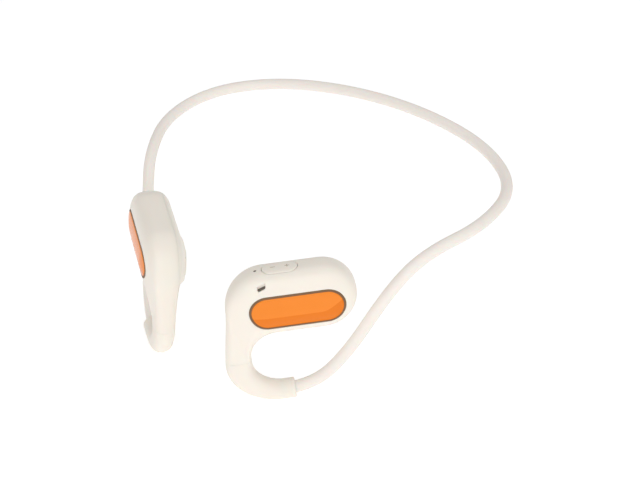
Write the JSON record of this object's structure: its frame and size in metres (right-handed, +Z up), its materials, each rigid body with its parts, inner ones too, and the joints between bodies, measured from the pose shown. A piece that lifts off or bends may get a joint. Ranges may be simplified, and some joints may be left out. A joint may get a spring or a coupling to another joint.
{
  "type": "bone conduction headphones",
  "caption": "Open-ear bone conduction headset: two capsule earpieces on ear hooks joined by a springy neckband, with a volume rocker and coloured side plates.",
  "frame": {"origin": "centre of the bounding box in X and Y, at the bottoms of the two ear hooks", "axes": "+Z up with the hooks below the capsules, +Y towards the back of the neckband, +X towards the earpiece with the controls, which is the wearer's right one when the set is turned over and worn"},
  "size_m": [0.1336, 0.1222, 0.0549],
  "materials": {
    "cream_plastic": "satin moulded plastic, warm cream",
    "cream_silicone": "soft matte silicone overmould, warm cream",
    "orange_gloss": "high-gloss lacquered orange",
    "brown_rubber": "dark brown gasket",
    "seal_rubber": "grey seal",
    "spring_steel": "bright drawn spring wire",
    "black_plastic": "moulded black nylon",
    "copper_wire": "enamelled copper winding",
    "yoke_steel": "zinc-plated mild steel",
    "magnet_nickel": "nickel-plated neodymium magnet",
    "board_green": "green solder mask",
    "chip_black": "moulded black epoxy",
    "battery_foil": "crimped pouch foil",
    "gold_contact": "gold-plated brass",
    "crimp_brass": "plain brass tube",
    "clear_pipe": "smoked clear acrylic",
    "dark_mesh": "fine acoustic mesh",
    "wire_insulation": "black insulated litz wire"
  },
  "bodies": {
    "right_side": {"dome_switches": "spring_steel", "key_board": "board_green", "neckband_sleeve": "cream_silicone", "neckband_wire": "spring_steel", "right_board_chips": "chip_black", "right_charge_block": "chip_black", "right_charge_contacts": "gold_contact", "right_circuit_board": "board_green", "right_collar": "cream_silicone", "right_decor_plate": "orange_gloss", "right_driver_coil": "copper_wire", "right_driver_frame": "black_plastic", "right_driver_spring": "spring_steel", "right_ear_hook": "cream_silicone", "right_hook_wire": "spring_steel", "right_inner_shell": "cream_plastic", "right_light_pipe": "clear_pipe", "right_mic_mesh": "dark_mesh", "right_microphone": "chip_black", "right_outer_shell": "cream_plastic", "right_plate_gasket": "brown_rubber", "right_shell_seal": "seal_rubber", "right_skin_pad": "cream_silicone", "right_wire_crimp": "crimp_brass", "rocker_pin": "spring_steel", "signal_wires": "wire_insulation"},
    "left_side": {"left_battery_board": "board_green", "left_battery_cell": "battery_foil", "left_collar": "cream_silicone", "left_decor_plate": "orange_gloss", "left_driver_coil": "copper_wire", "left_driver_frame": "black_plastic", "left_driver_spring": "spring_steel", "left_ear_hook": "cream_silicone", "left_hook_wire": "spring_steel", "left_inner_shell": "cream_plastic", "left_outer_shell": "cream_plastic", "left_plate_gasket": "brown_rubber", "left_shell_seal": "seal_rubber", "left_skin_pad": "cream_silicone", "left_wire_crimp": "crimp_brass"},
    "rocker": {"volume_rocker": "cream_plastic"},
    "right_shaker": {"right_driver_yoke": "yoke_steel", "right_driver_magnet": "magnet_nickel", "right_driver_top_plate": "yoke_steel"},
    "left_shaker": {"left_driver_yoke": "yoke_steel", "left_driver_magnet": "magnet_nickel", "left_driver_top_plate": "yoke_steel"}
  },
  "joints": [
    {"name": "neckband_flex", "type": "hinge", "parent": "right_side", "child": "left_side", "pos_m": [0, 0.05906, 0.05295], "axis": [0, 0, -1], "range_deg": [-4, 35], "stiffness_Nm_per_rad": 0.3, "deforming": ["neckband_sleeve", "neckband_wire", "signal_wires"]},
    {"name": "volume_rocker_tilt", "type": "hinge", "parent": "right_side", "child": "rocker", "pos_m": [0.02442, -0.04436, 0.04597], "axis": [0.6274, -0.7713, 0.1075], "range_deg": [-2.5, 2.5], "stiffness_Nm_per_rad": 0.02},
    {"name": "right_driver_shake", "type": "slide", "parent": "right_side", "child": "right_shaker", "axis": [0.6274, -0.7713, 0.1075], "range_m": [-0.00025, 0.00025], "stiffness_N_per_m": 600, "deforming": ["right_driver_spring"]},
    {"name": "left_driver_shake", "type": "slide", "parent": "left_side", "child": "left_shaker", "axis": [-0.6274, -0.7713, 0.1075], "range_m": [-0.00025, 0.00025], "stiffness_N_per_m": 600, "deforming": ["left_driver_spring"]}
  ]
}
